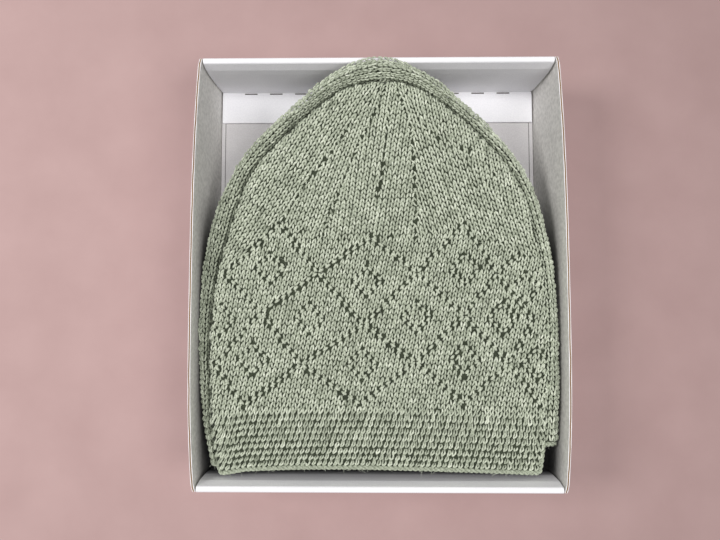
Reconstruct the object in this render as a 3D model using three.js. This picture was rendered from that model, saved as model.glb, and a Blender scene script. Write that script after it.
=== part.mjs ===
// Knitted kufi lying folded in an open paperboard tray.
// Millimetres, +Z up, origin at the middle of the tray's underside, +Y toward the crown.
import * as THREE from 'three';

// Board and clearances
const BOARD = 1.5;
const SEAT_GAP = 0.3;
const SIDE_GAP = 0.55;

// Kufi, as it lies
const KUFI_WIDTH = 217.8;
const KUFI_LENGTH = 249.7;
const KNIT = 2.4;
const BAND_HEIGHT = 36;
const EDGE_ROUND = 8;
const CROWN_DOME = 1.4;
const SEAM_GAP = 0.3;

// Tray
const TRAY_HEIGHT = 50;
const SIDE_BOW = 3.4;
const SIDE_LEAN = 1.6;
const CORNER_TURN = 0.8;
const CORNER_LENGTH = 4;
const CORNER_SETBACK = 0.8;
const RIM_RADIUS = 1.9;
const RIM_HOLLOW = 0.35;
const END_BULGE = 1.5;
const BULGE_BIAS = 0.6;
const TAB_LENGTH = 21;
const BOW_CENTRE = -25;
const MOUTH_ROOM = 2.9;

// Tray sizes that follow from the kufi
const APEX_Y = (KUFI_LENGTH + MOUTH_ROOM) / 2;
const BASE_Y = APEX_Y - KUFI_LENGTH;
const HALF_LENGTH = APEX_Y + RIM_RADIUS;
const REST_SHARE = 0.74;
const FOOT_X = KUFI_WIDTH / 2 + SIDE_GAP - SIDE_BOW * (1 - (1 - REST_SHARE) ** SIDE_LEAN);
const END_HALF_WIDTH = FOOT_X - CORNER_TURN - SEAT_GAP;

// The kufi's edge from the mouth to the crown, one row a station.
// along: share of KUFI_LENGTH. left, right: half width, share of KUFI_WIDTH / 2.
// rollL, rollR: width of the rolled edge outside the crease, mm.
// edge: height of the rolled edge's outermost line, share of TRAY_HEIGHT.
// top: height of the front layer at its rim, share of TRAY_HEIGHT.
// dropL, dropR: depth of the crease under the front layer, mm.
// lift: 1 where the kufi lies on a tuck tab, 0 where it lies on the floor.
const EDGE = [
  { along: 0.000, left: 0.914, right: 0.977, rollL: 4.8, rollR: 9.2,
    edge: 0.64, top: 0.82, dropL: 3.6, dropR: 3.6, lift: 1 },
  { along: 0.048, left: 0.937, right: 0.984, rollL: 4.6, rollR: 9.2,
    edge: 0.65, top: 0.82, dropL: 4.0, dropR: 3.6, lift: 1 },
  { along: 0.104, left: 0.962, right: 0.990, rollL: 4.6, rollR: 9.0,
    edge: 0.68, top: 0.83, dropL: 4.3, dropR: 3.2, lift: 1 },
  { along: 0.196, left: 0.979, right: 0.991, rollL: 5.2, rollR: 8.0,
    edge: 0.74, top: 0.84, dropL: 4.6, dropR: 2.2, lift: 0 },
  { along: 0.352, left: 1.000, right: 0.992, rollL: 7.0, rollR: 6.8,
    edge: 0.74, top: 0.84, dropL: 4.6, dropR: 1.6, lift: 0 },
  { along: 0.496, left: 0.983, right: 0.976, rollL: 9.4, rollR: 6.8,
    edge: 0.74, top: 0.84, dropL: 4.6, dropR: 2.0, lift: 0 },
  { along: 0.608, left: 0.937, right: 0.930, rollL: 11.8, rollR: 7.2,
    edge: 0.74, top: 0.84, dropL: 4.6, dropR: 3.2, lift: 0 },
  { along: 0.688, left: 0.877, right: 0.880, rollL: 11.4, rollR: 7.0,
    edge: 0.74, top: 0.844, dropL: 4.6, dropR: 4.0, lift: 0 },
  { along: 0.764, left: 0.781, right: 0.787, rollL: 10.2, rollR: 7.3,
    edge: 0.764, top: 0.86, dropL: 4.6, dropR: 4.4, lift: 0 },
  { along: 0.839, left: 0.617, right: 0.623, rollL: 9.4, rollR: 6.4,
    edge: 0.864, top: 0.90, dropL: 4.6, dropR: 4.6, lift: 0 },
  { along: 0.909, left: 0.416, right: 0.433, rollL: 8.2, rollR: 6.2,
    edge: 0.972, top: 0.948, dropL: 4.6, dropR: 4.6, lift: 1 },
  { along: 0.963, left: 0.248, right: 0.252, rollL: 8.8, rollR: 7.0,
    edge: 1.028, top: 0.976, dropL: 4.6, dropR: 4.6, lift: 1 },
  { along: 0.991, left: 0.106, right: 0.112, rollL: 10.8, rollR: 9.8,
    edge: 1.04, top: 0.986, dropL: 4.5, dropR: 4.5, lift: 1 },
  { along: 1.000, left: 0.000, right: 0.000, rollL: 11.5, rollR: 11.5,
    edge: 1.04, top: 0.988, dropL: 4.4, dropR: 4.4, lift: 1 },
];

// Where the mouth's edge runs, as millimetres up from the kufi's lowest point, by the
// place round the mouth: 0 to 1 is the way from the front layer over the edge to the back.
const MOUTH_LEFT = [
  { round: 0.00, up: 1.2 },
  { round: 0.20, up: 1.4 },
  { round: 0.30, up: 6.5 },
  { round: 0.60, up: 7.0 },
  { round: 1.00, up: 10.0 },
];
const MOUTH_RIGHT = [
  { round: 0.00, up: 2.6 },
  { round: 0.16, up: 2.8 },
  { round: 0.28, up: 19.5 },
  { round: 0.60, up: 19.5 },
  { round: 1.00, up: 12.0 },
];
const MOUTH_FRONT_UP = 4.0;
const MOUTH_BACK_UP = 11.0;

// Mesh density
const SUB = 2;
const FRONT_STEPS = 10;
const BACK_STEPS = 6;
const CROWN_ROWS = 25;
const BAND_ROWS = 5;
const WALL_STEPS = 24;
const WALL_ROWS = 6;
const RIM_STEPS = 8;
const LEAF_STEPS = 8;

// Slope-limited cubic through the stations
function column(rows, key, endSlope) {
  const v = rows.map((r) => r[key]);
  const n = v.length;
  const m = new Array(n).fill(0);
  for (let i = 1; i < n - 1; i += 1) {
    const a = v[i] - v[i - 1];
    const b = v[i + 1] - v[i];
    m[i] = a * b <= 0 ? 0 : (2 * a * b) / (a + b);
  }
  m[0] = v[1] - v[0];
  m[n - 1] = endSlope === undefined ? v[n - 1] - v[n - 2] : endSlope;
  return (t) => {
    const i = Math.min(n - 2, Math.max(0, Math.floor(t)));
    const u = t - i;
    const u2 = u * u;
    const u3 = u2 * u;
    return v[i] * (2 * u3 - 3 * u2 + 1) + m[i] * (u3 - 2 * u2 + u)
      + v[i + 1] * (3 * u2 - 2 * u3) + m[i + 1] * (u3 - u2);
  };
}

const LAST = EDGE.length - 1;
const alongAt = column(EDGE, 'along', 0);
const leftAt = column(EDGE, 'left', -0.125);
const rightAt = column(EDGE, 'right', -0.125);
const rollLAt = column(EDGE, 'rollL');
const rollRAt = column(EDGE, 'rollR');
const edgeAt = column(EDGE, 'edge', 0);
const topAt = column(EDGE, 'top', 0);
const dropLAt = column(EDGE, 'dropL');
const dropRAt = column(EDGE, 'dropR');
const liftAt = column(EDGE, 'lift');

// Station at which the edge line has climbed a given length from the lowest point
function stationAt(up) {
  let lo = 0;
  let hi = LAST;
  for (let i = 0; i < 40; i += 1) {
    const mid = (lo + hi) / 2;
    if (alongAt(mid) * KUFI_LENGTH < up) {
      lo = mid;
    } else {
      hi = mid;
    }
  }
  return (lo + hi) / 2;
}

// Edge line in plan with its outward direction; side is -1 for left and 1 for right
function edgeLine(side, t) {
  const at = side < 0 ? leftAt : rightAt;
  const x = (s) => side * at(s) * (KUFI_WIDTH / 2);
  const y = (s) => BASE_Y + alongAt(s) * KUFI_LENGTH;
  const h = 0.02;
  const a = Math.max(0, t - h);
  const b = Math.min(LAST, t + h);
  const tx = x(b) - x(a);
  const ty = y(b) - y(a);
  const l = Math.hypot(tx, ty);
  const atApex = t > LAST - 1e-6;
  return {
    x: x(t),
    y: y(t),
    nx: atApex ? 0 : (side * ty) / l,
    ny: atApex ? 1 : (-side * tx) / l,
  };
}

// The profile across the edge: from the front layer out, down the crease, over the roll,
// and under to the back layer. A point lies in from the edge line by the larger of
// roll * roll width + round * EDGE_ROUND and knit * KNIT + tuck * tuck + mm.
// Its height is share of the way between two levels, plus rise mm and wall * KNIT.
const OUTER = [
  { roll: 1.00, round: 2.00, tuck: 0, mm: 0, from: 'top', to: 'top', share: 0, rise: 0.4 },
  { roll: 1.00, round: 1.00, tuck: 0, mm: 0, from: 'top', to: 'top', share: 0, rise: 0 },
  { roll: 1.00, round: 0.42, tuck: 0, mm: 0, from: 'top', to: 'crease', share: 0.22, rise: 0 },
  { roll: 1.00, round: 0.12, tuck: 0, mm: 0, from: 'top', to: 'crease', share: 0.58, rise: 0 },
  { roll: 1.00, round: 0.00, tuck: 0, mm: 0, from: 'crease', to: 'crease', share: 0, rise: 0 },
  { roll: 0.84, round: 0.00, tuck: 0, mm: 0, from: 'crease', to: 'crest', share: 0.45, rise: 0 },
  { roll: 0.50, round: 0.00, tuck: 0, mm: 0, from: 'crest', to: 'crest', share: 0, rise: 0 },
  { roll: 0.14, round: 0.00, tuck: 0, mm: 0, from: 'edge', to: 'crest', share: 0.62, rise: 0 },
  { roll: 0.00, round: 0.00, tuck: 0, mm: 0, from: 'edge', to: 'edge', share: 0, rise: 0 },
  { roll: 0.00, round: 0.00, tuck: 1, mm: 0, from: 'edge', to: 'edge', share: 0, rise: -3 },
  { roll: 0.00, round: 0.00, tuck: 1, mm: 0.9, from: 'edge', to: 'bottom', share: 0.3, rise: 0 },
  { roll: 0.00, round: 0.00, tuck: 1, mm: 2.4, from: 'edge', to: 'bottom', share: 0.6, rise: 0 },
  { roll: 0.00, round: 0.00, tuck: 1, mm: 6, from: 'edge', to: 'bottom', share: 0.87, rise: 0 },
  { roll: 0.00, round: 0.00, tuck: 1, mm: 11, from: 'bottom', to: 'bottom', share: 0, rise: 1.2 },
  { roll: 0.00, round: 0.00, tuck: 1, mm: 24, from: 'bottom', to: 'bottom', share: 0, rise: 0 },
];
const INNER = [
  { roll: 1.00, round: 2.0, knit: 0, tuck: 0, mm: 0, from: 'top', to: 'top', share: 0, rise: 0.4, wall: -1 },
  { roll: 1.00, round: 1.0, knit: 0, tuck: 0, mm: 0, from: 'top', to: 'top', share: 0, rise: 0, wall: -1 },
  { roll: 1.00, round: 0.5, knit: 0, tuck: 0, mm: 0,
    from: 'top', to: 'crease', share: 0.3, rise: 0, wall: -1 },
  { roll: 1.00, round: 0.2, knit: 0, tuck: 0, mm: 0,
    from: 'top', to: 'crease', share: 0.7, rise: 0, wall: -1 },
  { roll: 0.95, round: 0.0, knit: 1, tuck: 0, mm: 2.2,
    from: 'crease', to: 'crease', share: 0, rise: -0.3, wall: -1 },
  { roll: 0.80, round: 0.0, knit: 1, tuck: 0, mm: 1.6,
    from: 'crease', to: 'crease', share: 0, rise: -0.9, wall: -1 },
  { roll: 0.65, round: 0.0, knit: 1, tuck: 0, mm: 1.1,
    from: 'crease', to: 'crease', share: 0, rise: -1.8, wall: -1 },
  { roll: 0.50, round: 0.0, knit: 1, tuck: 0, mm: 0.7,
    from: 'crease', to: 'crease', share: 0, rise: -3, wall: -1 },
  { roll: 0.00, round: 0.0, knit: 1, tuck: 0.6, mm: 0.9,
    from: 'fold', to: 'fold', share: 0, rise: -4.6, wall: -1 },
  { roll: 0.00, round: 0.0, knit: 1, tuck: 1, mm: 0.4,
    from: 'fold', to: 'fold', share: 0, rise: -7, wall: -1 },
  { roll: 0.00, round: 0.0, knit: 1, tuck: 1, mm: 0.9,
    from: 'edge', to: 'bottom', share: 0.32, rise: -1, wall: 0 },
  { roll: 0.00, round: 0.0, knit: 1, tuck: 1, mm: 2.4,
    from: 'edge', to: 'bottom', share: 0.6, rise: 0, wall: 0 },
  { roll: 0.00, round: 0.0, knit: 1, tuck: 1, mm: 5.4,
    from: 'edge', to: 'bottom', share: 0.85, rise: 1, wall: 0 },
  { roll: 0.00, round: 0.0, knit: 1, tuck: 1, mm: 10.5,
    from: 'bottom', to: 'bottom', share: 0, rise: 0.5, wall: 1 },
  { roll: 0.00, round: 0.0, knit: 1, tuck: 1, mm: 22,
    from: 'bottom', to: 'bottom', share: 0, rise: 0, wall: 1 },
];
const CREST_RISE = 1.6;
const TUCK = 0.4;
const APEX_TUCK = 2.2;

function profile(side, t, inner) {
  const roll = (side < 0 ? rollLAt : rollRAt)(t);
  const edge = edgeAt(t) * TRAY_HEIGHT;
  const top = topAt(t) * TRAY_HEIGHT;
  const crease = top - (side < 0 ? dropLAt : dropRAt)(t);
  const climb = Math.max(0, (edgeAt(t) - REST_SHARE) / (EDGE[LAST].edge - REST_SHARE));
  const tuck = TUCK + APEX_TUCK * climb;
  const level = {
    top,
    crease,
    edge,
    crest: Math.max(edge, crease) + CREST_RISE,
    fold: Math.min(edge, crease),
    bottom: BOARD + SEAT_GAP + Math.max(0, liftAt(t)) * (BOARD + SEAT_GAP),
  };
  return (inner ? INNER : OUTER).map((p) => {
    const fromRoll = p.roll * roll + p.round * EDGE_ROUND;
    const fromEdge = (p.knit ?? 0) * KNIT + p.tuck * tuck + p.mm;
    const height = level[p.from] + p.share * (level[p.to] - level[p.from]);
    return [-Math.max(fromRoll, fromEdge), height + p.rise + (p.wall ?? 0) * KNIT];
  });
}

// Smooth curve through the profile's points, SUB steps to a span
function smooth(points) {
  const out = [];
  const n = points.length;
  for (let i = 0; i < n - 1; i += 1) {
    const p0 = points[Math.max(0, i - 1)];
    const p1 = points[i];
    const p2 = points[i + 1];
    const p3 = points[Math.min(n - 1, i + 2)];
    for (let k = 0; k < SUB; k += 1) {
      const u = k / SUB;
      const q = [0, 1].map((c) => 0.5 * (2 * p1[c] + (p2[c] - p0[c]) * u
        + (2 * p0[c] - 5 * p1[c] + 4 * p2[c] - p3[c]) * u * u
        + (3 * p1[c] - p0[c] - 3 * p2[c] + p3[c]) * u * u * u));
      out.push(q);
    }
  }
  out.push(points[n - 1]);
  return out;
}

function sidePoint(side, t, index, inner) {
  const e = edgeLine(side, t);
  const [d, z] = smooth(profile(side, t, inner))[index];
  return [e.x + e.nx * d, e.y + e.ny * d, z];
}

function table(rows, round) {
  let i = 0;
  while (i < rows.length - 2 && round > rows[i + 1].round) {
    i += 1;
  }
  const a = rows[i];
  const b = rows[i + 1];
  const u = Math.min(1, Math.max(0, (round - a.round) / (b.round - a.round)));
  return a.up + (b.up - a.up) * u * u * (3 - 2 * u);
}

// One closed loop of columns round the kufi: front left to right, down, back, up
const SIDE_COUNT = (OUTER.length - 1) * SUB;
const LOOP = [];
for (let i = 0; i <= SIDE_COUNT; i += 1) {
  LOOP.push({ kind: 'side', side: 1, index: i, up: table(MOUTH_RIGHT, i / SIDE_COUNT) });
}
for (let i = 1; i < BACK_STEPS; i += 1) {
  const u = i / BACK_STEPS;
  const bulge = 4 * u * (1 - u);
  const ends = MOUTH_RIGHT[4].up * (1 - u) + MOUTH_LEFT[4].up * u;
  LOOP.push({ kind: 'back', share: u, up: ends * (1 - bulge) + MOUTH_BACK_UP * bulge });
}
for (let i = SIDE_COUNT; i >= 0; i -= 1) {
  LOOP.push({ kind: 'side', side: -1, index: i, up: table(MOUTH_LEFT, i / SIDE_COUNT) });
}
for (let i = 1; i < FRONT_STEPS; i += 1) {
  const u = i / FRONT_STEPS;
  const bulge = 4 * u * (1 - u);
  const ends = MOUTH_LEFT[0].up * (1 - u) + MOUTH_RIGHT[0].up * u;
  LOOP.push({ kind: 'front', share: u, up: ends * (1 - bulge) + MOUTH_FRONT_UP * bulge });
}

function loopPoint(col, t, inner) {
  if (col.kind === 'side') {
    return sidePoint(col.side, t, col.index, inner);
  }
  if (col.kind === 'back') {
    const a = sidePoint(1, t, SIDE_COUNT, inner);
    const b = sidePoint(-1, t, SIDE_COUNT, inner);
    return [0, 1, 2].map((c) => a[c] + (b[c] - a[c]) * col.share);
  }
  const a = sidePoint(-1, t, 0, inner);
  const b = sidePoint(1, t, 0, inner);
  const p = [0, 1, 2].map((c) => a[c] + (b[c] - a[c]) * col.share);
  const width = Math.min(1, (b[0] - a[0]) / (0.6 * KUFI_WIDTH));
  p[2] += CROWN_DOME * width * (1 - (2 * col.share - 1) ** 2);
  return p;
}

// Thick shell between two heights up the kufi; from and to give a length up per column
function shell(from, to, rows, closedTop) {
  const n = LOOP.length;
  const positions = [];
  const index = [];
  const cut = (col, row) => {
    const t0 = stationAt(from(col));
    const t1 = closedTop ? LAST : stationAt(to(col));
    return t0 + (t1 - t0) * (row / rows);
  };
  const grid = [false, true].map((inner) => {
    const ids = [];
    for (let r = 0; r <= rows; r += 1) {
      const line = [];
      const collapsed = closedTop && r === rows;
      LOOP.forEach((col, i) => {
        if (collapsed) {
          let twin = -1;
          if (col.kind === 'back') {
            twin = SIDE_COUNT;
          } else if (col.kind === 'front') {
            twin = 0;
          } else if (col.side < 0) {
            twin = col.index;
          }
          if (twin >= 0) {
            line.push(line[twin]);
            return;
          }
        }
        const p = loopPoint(col, collapsed ? LAST : cut(col, r), inner);
        if (collapsed) {
          p[0] = 0;
        }
        line.push(positions.length / 3);
        positions.push(p[0], p[1], p[2]);
      });
      ids.push(line);
    }
    return ids;
  });
  const tri = (a, b, c) => {
    if (a !== b && b !== c && a !== c) {
      index.push(a, b, c);
    }
  };
  const quad = (a, b, c, d) => {
    tri(a, b, c);
    tri(a, c, d);
  };
  for (let r = 0; r < rows; r += 1) {
    for (let i = 0; i < n; i += 1) {
      const j = (i + 1) % n;
      quad(grid[0][r][i], grid[0][r + 1][i], grid[0][r + 1][j], grid[0][r][j]);
      quad(grid[1][r][i], grid[1][r][j], grid[1][r + 1][j], grid[1][r + 1][i]);
    }
  }
  for (let i = 0; i < n; i += 1) {
    const j = (i + 1) % n;
    quad(grid[0][0][i], grid[0][0][j], grid[1][0][j], grid[1][0][i]);
    if (!closedTop) {
      quad(grid[0][rows][i], grid[1][rows][i], grid[1][rows][j], grid[0][rows][j]);
    }
  }
  return solid(positions, index);
}

function solid(positions, index) {
  const g = new THREE.BufferGeometry();
  g.setAttribute('position', new THREE.Float32BufferAttribute(positions, 3));
  g.setIndex(index);
  let volume = 0;
  for (let i = 0; i < index.length; i += 3) {
    const [a, b, c] = [0, 1, 2].map((k) => new THREE.Vector3().fromArray(positions, index[i + k] * 3));
    volume += a.dot(b.cross(c)) / 6;
  }
  if (volume < 0) {
    for (let i = 0; i < index.length; i += 3) {
      const keep = index[i];
      index[i] = index[i + 1];
      index[i + 1] = keep;
    }
    g.setIndex(index);
  }
  g.computeVertexNormals();
  return g;
}

// Strip of board: a grid of points on its inner face and the same grid on its outer face
function board(innerAt, outerAt, across, up) {
  const positions = [];
  const index = [];
  const faces = [innerAt, outerAt].map((at) => {
    const ids = [];
    for (let r = 0; r <= up; r += 1) {
      const line = [];
      for (let i = 0; i <= across; i += 1) {
        line.push(positions.length / 3);
        positions.push(...at(i / across, r / up));
      }
      ids.push(line);
    }
    return ids;
  });
  const [a, b] = faces;
  const quad = (p, q, r, s) => index.push(p, q, r, p, r, s);
  for (let r = 0; r < up; r += 1) {
    for (let i = 0; i < across; i += 1) {
      quad(a[r][i], a[r][i + 1], a[r + 1][i + 1], a[r + 1][i]);
      quad(b[r][i], b[r + 1][i], b[r + 1][i + 1], b[r][i + 1]);
    }
    quad(a[r][0], a[r + 1][0], b[r + 1][0], b[r][0]);
    quad(a[r][across], b[r][across], b[r + 1][across], a[r + 1][across]);
  }
  for (let i = 0; i < across; i += 1) {
    quad(a[0][i], b[0][i], b[0][i + 1], a[0][i + 1]);
    quad(a[up][i], a[up][i + 1], b[up][i + 1], b[up][i]);
  }
  return solid(positions, index);
}

// Side wall, leaning out a little where the kufi presses on it
const WALL_END = HALF_LENGTH - CORNER_SETBACK;
function sideOffset(y, z) {
  const reach = y > BOW_CENTRE ? WALL_END - BOW_CENTRE : BOW_CENTRE + WALL_END;
  const t = Math.min(1, Math.abs(y - BOW_CENTRE) / reach);
  const lean = 1 - (1 - Math.min(1, z / TRAY_HEIGHT)) ** SIDE_LEAN;
  const fromEnd = Math.max(0, 1 - (WALL_END - Math.abs(y)) / CORNER_LENGTH);
  return SIDE_BOW * (1 - t ** 3) * lean - CORNER_TURN * fromEnd * fromEnd;
}
function sideWall(side) {
  const face = (out) => (u, w) => {
    const y = WALL_END * Math.sin(Math.PI * (u - 0.5));
    const z = w * TRAY_HEIGHT;
    return [side * (FOOT_X + out + sideOffset(y, z)), y, z];
  };
  return board(face(0), face(BOARD), WALL_STEPS, WALL_ROWS);
}

// End wall: outer leaf, rolled rim, inner leaf falling back to the floor, tuck tab.
// The sheet is drawn as its outside line and its inside line, one pair of points a step.
function endWall(end) {
  const outline = [];
  const inline = [];
  const pair = (oy, oz, iy, iz) => {
    outline.push([oy, oz]);
    inline.push([iy, iz]);
  };
  const rimZ = TRAY_HEIGHT - RIM_RADIUS;
  const rimY = HALF_LENGTH - RIM_RADIUS;
  const leafY = rimY - RIM_RADIUS;
  const tabTop = 2 * BOARD + SEAT_GAP;
  pair(HALF_LENGTH, 0, HALF_LENGTH - BOARD, 0);
  for (let i = 0; i <= RIM_STEPS; i += 1) {
    const c = Math.cos((Math.PI * i) / RIM_STEPS);
    const r = Math.sin((Math.PI * i) / RIM_STEPS);
    pair(rimY + RIM_RADIUS * c, rimZ + RIM_RADIUS * r, rimY + RIM_HOLLOW * c, rimZ + RIM_HOLLOW * r);
  }
  for (let i = 1; i <= LEAF_STEPS; i += 1) {
    const u = i / LEAF_STEPS;
    const y = leafY - END_BULGE * Math.sin(Math.PI * u ** BULGE_BIAS);
    const z = rimZ + (tabTop - rimZ) * u;
    pair(y, z, y + BOARD, i === LEAF_STEPS ? z - BOARD : z);
  }
  pair(leafY - TAB_LENGTH, tabTop, leafY - TAB_LENGTH, tabTop - BOARD);
  const loop = [...outline, ...inline.reverse()];
  const n = loop.length;
  const positions = [];
  const index = [];
  [-1, 1].forEach((sx) => {
    loop.forEach(([y, z]) => {
      positions.push(sx * END_HALF_WIDTH, end * y, z);
    });
  });
  const flat = loop.map(([y, z]) => new THREE.Vector2(y, z));
  THREE.ShapeUtils.triangulateShape(flat, []).forEach(([a, b, c]) => {
    index.push(a, b, c, n + a, n + c, n + b);
  });
  const turn = THREE.ShapeUtils.isClockWise(flat);
  for (let i = 0; i < n; i += 1) {
    const j = (i + 1) % n;
    if (turn) {
      index.push(i, j, n + j, i, n + j, n + i);
    } else {
      index.push(i, n + j, j, i, n + i, n + j);
    }
  }
  return solid(positions, index);
}

function floorPlate() {
  const hx = FOOT_X - SEAT_GAP;
  const hy = HALF_LENGTH - BOARD - SEAT_GAP;
  const cutY = WALL_END - CORNER_LENGTH;
  const plan = new THREE.Shape();
  plan.moveTo(-END_HALF_WIDTH, -hy);
  plan.lineTo(END_HALF_WIDTH, -hy);
  plan.lineTo(hx, -cutY);
  plan.lineTo(hx, cutY);
  plan.lineTo(END_HALF_WIDTH, hy);
  plan.lineTo(-END_HALF_WIDTH, hy);
  plan.lineTo(-hx, cutY);
  plan.lineTo(-hx, -cutY);
  plan.closePath();
  return new THREE.ExtrudeGeometry(plan, { depth: BOARD, bevelEnabled: false });
}

const group = new THREE.Group();
function add(name, geometry, color, roughness) {
  const material = new THREE.MeshStandardMaterial({ color, roughness, metalness: 0 });
  const mesh = new THREE.Mesh(geometry, material);
  mesh.name = name;
  group.add(mesh);
}

const WHITE = 0xe6e4e8;
const GREY = 0xbebabb;
const SAGE = 0x989e8b;
const SAGE_BAND = 0x8e9480;

add('tray_floor', floorPlate(), GREY, 0.85);
add('tray_side_left', sideWall(-1), WHITE, 0.8);
add('tray_side_right', sideWall(1), WHITE, 0.8);
add('tray_end_far', endWall(1), WHITE, 0.75);
add('tray_end_near', endWall(-1), WHITE, 0.75);
add('kufi_crown', shell((c) => c.up + BAND_HEIGHT + SEAM_GAP, null, CROWN_ROWS, true), SAGE, 0.95);
add('kufi_band', shell((c) => c.up, (c) => c.up + BAND_HEIGHT, BAND_ROWS, false), SAGE_BAND, 0.95);

export default group;
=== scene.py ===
"""Knitted kufi in its open paperboard tray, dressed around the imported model."""
import math

import bpy
import numpy as np
from mathutils import Euler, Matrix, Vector
from mathutils.bvhtree import BVHTree


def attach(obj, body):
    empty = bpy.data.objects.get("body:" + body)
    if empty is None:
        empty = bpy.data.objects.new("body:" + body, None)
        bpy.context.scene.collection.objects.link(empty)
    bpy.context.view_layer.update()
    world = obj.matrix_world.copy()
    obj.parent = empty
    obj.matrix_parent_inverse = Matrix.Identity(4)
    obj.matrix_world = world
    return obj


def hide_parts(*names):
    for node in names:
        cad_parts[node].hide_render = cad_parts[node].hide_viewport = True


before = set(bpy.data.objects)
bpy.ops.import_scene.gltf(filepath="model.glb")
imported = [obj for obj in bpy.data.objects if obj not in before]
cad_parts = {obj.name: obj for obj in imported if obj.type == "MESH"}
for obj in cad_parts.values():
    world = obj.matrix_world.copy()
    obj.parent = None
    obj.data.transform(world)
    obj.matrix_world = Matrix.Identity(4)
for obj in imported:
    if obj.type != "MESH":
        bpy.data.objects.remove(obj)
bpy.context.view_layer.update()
MM = 0.001
END_GAP = 1e-3

# Sizes shared with the model, in millimetres
BOARD = 1.5
SEAT_GAP = 0.3
SIDE_GAP = 0.55
KUFI_WIDTH = 217.8
KUFI_LENGTH = 249.7
KNIT = 2.4
BAND_HEIGHT = 36.0
EDGE_ROUND = 8.0
CROWN_DOME = 1.4
TRAY_HEIGHT = 50.0
SIDE_BOW = 3.4
SIDE_LEAN = 1.6
CORNER_TURN = 0.8
CORNER_LENGTH = 4.0
CORNER_SETBACK = 0.8
RIM_RADIUS = 1.9
BOW_CENTRE = -25.0
MOUTH_ROOM = 2.9
REST_SHARE = 0.74
CREST_RISE = 1.6
TUCK = 0.4
APEX_TUCK = 2.2
APEX_Y = (KUFI_LENGTH + MOUTH_ROOM) / 2
BASE_Y = APEX_Y - KUFI_LENGTH
HALF_LENGTH = APEX_Y + RIM_RADIUS
FOOT_X = KUFI_WIDTH / 2 + SIDE_GAP - SIDE_BOW * (1 - (1 - REST_SHARE) ** SIDE_LEAN)
WALL_END = HALF_LENGTH - CORNER_SETBACK

# along, left, right, rollL, rollR, edge, top, dropL, dropR, lift
EDGE = np.array([
    [0.000, 0.914, 0.977, 4.8, 9.2, 0.64, 0.82, 3.6, 3.6, 1],
    [0.048, 0.937, 0.984, 4.6, 9.2, 0.65, 0.82, 4.0, 3.6, 1],
    [0.104, 0.962, 0.990, 4.6, 9.0, 0.68, 0.83, 4.3, 3.2, 1],
    [0.196, 0.979, 0.991, 5.2, 8.0, 0.74, 0.84, 4.6, 2.2, 0],
    [0.352, 1.000, 0.992, 7.0, 6.8, 0.74, 0.84, 4.6, 1.6, 0],
    [0.496, 0.983, 0.976, 9.4, 6.8, 0.74, 0.84, 4.6, 2.0, 0],
    [0.608, 0.937, 0.930, 11.8, 7.2, 0.74, 0.84, 4.6, 3.2, 0],
    [0.688, 0.877, 0.880, 11.4, 7.0, 0.74, 0.844, 4.6, 4.0, 0],
    [0.764, 0.781, 0.787, 10.2, 7.3, 0.764, 0.86, 4.6, 4.4, 0],
    [0.839, 0.617, 0.623, 9.4, 6.4, 0.864, 0.90, 4.6, 4.6, 0],
    [0.909, 0.416, 0.433, 8.2, 6.2, 0.972, 0.948, 4.6, 4.6, 1],
    [0.963, 0.248, 0.252, 8.8, 7.0, 1.028, 0.976, 4.6, 4.6, 1],
    [0.991, 0.106, 0.112, 10.8, 9.8, 1.04, 0.986, 4.5, 4.5, 1],
    [1.000, 0.000, 0.000, 11.5, 11.5, 1.04, 0.988, 4.4, 4.4, 1],
])
ALONG, LEFT, RIGHT, ROLL_L, ROLL_R, EDGE_UP, TOP_UP, DROP_L, DROP_R, LIFT = range(10)
LAST = len(EDGE) - 1
END_SLOPE = {ALONG: 0.0, LEFT: -0.125, RIGHT: -0.125, EDGE_UP: 0.0, TOP_UP: 0.0}
MOUTH_LEFT = ([0, 0.2, 0.3, 0.6, 1.0], [1.2, 1.4, 6.5, 7.0, 10.0])
MOUTH_RIGHT = ([0, 0.16, 0.28, 0.6, 1.0], [2.6, 2.8, 19.5, 19.5, 12.0])
MOUTH_FRONT_UP = 4.0
MOUTH_BACK_UP = 11.0

# roll, round, knit, tuck, mm, from, to, share, rise, wall
OUTER = [
    (1.00, 2.00, 0, 0, 0, "top", "top", 0, 0.4, 0),
    (1.00, 1.00, 0, 0, 0, "top", "top", 0, 0, 0),
    (1.00, 0.42, 0, 0, 0, "top", "crease", 0.22, 0, 0),
    (1.00, 0.12, 0, 0, 0, "top", "crease", 0.58, 0, 0),
    (1.00, 0.00, 0, 0, 0, "crease", "crease", 0, 0, 0),
    (0.84, 0.00, 0, 0, 0, "crease", "crest", 0.45, 0, 0),
    (0.50, 0.00, 0, 0, 0, "crest", "crest", 0, 0, 0),
    (0.14, 0.00, 0, 0, 0, "edge", "crest", 0.62, 0, 0),
    (0.00, 0.00, 0, 0, 0, "edge", "edge", 0, 0, 0),
    (0.00, 0.00, 0, 1, 0, "edge", "edge", 0, -3, 0),
    (0.00, 0.00, 0, 1, 0.9, "edge", "bottom", 0.3, 0, 0),
    (0.00, 0.00, 0, 1, 2.4, "edge", "bottom", 0.6, 0, 0),
    (0.00, 0.00, 0, 1, 6, "edge", "bottom", 0.87, 0, 0),
    (0.00, 0.00, 0, 1, 11, "bottom", "bottom", 0, 1.2, 0),
    (0.00, 0.00, 0, 1, 24, "bottom", "bottom", 0, 0, 0),
]
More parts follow.
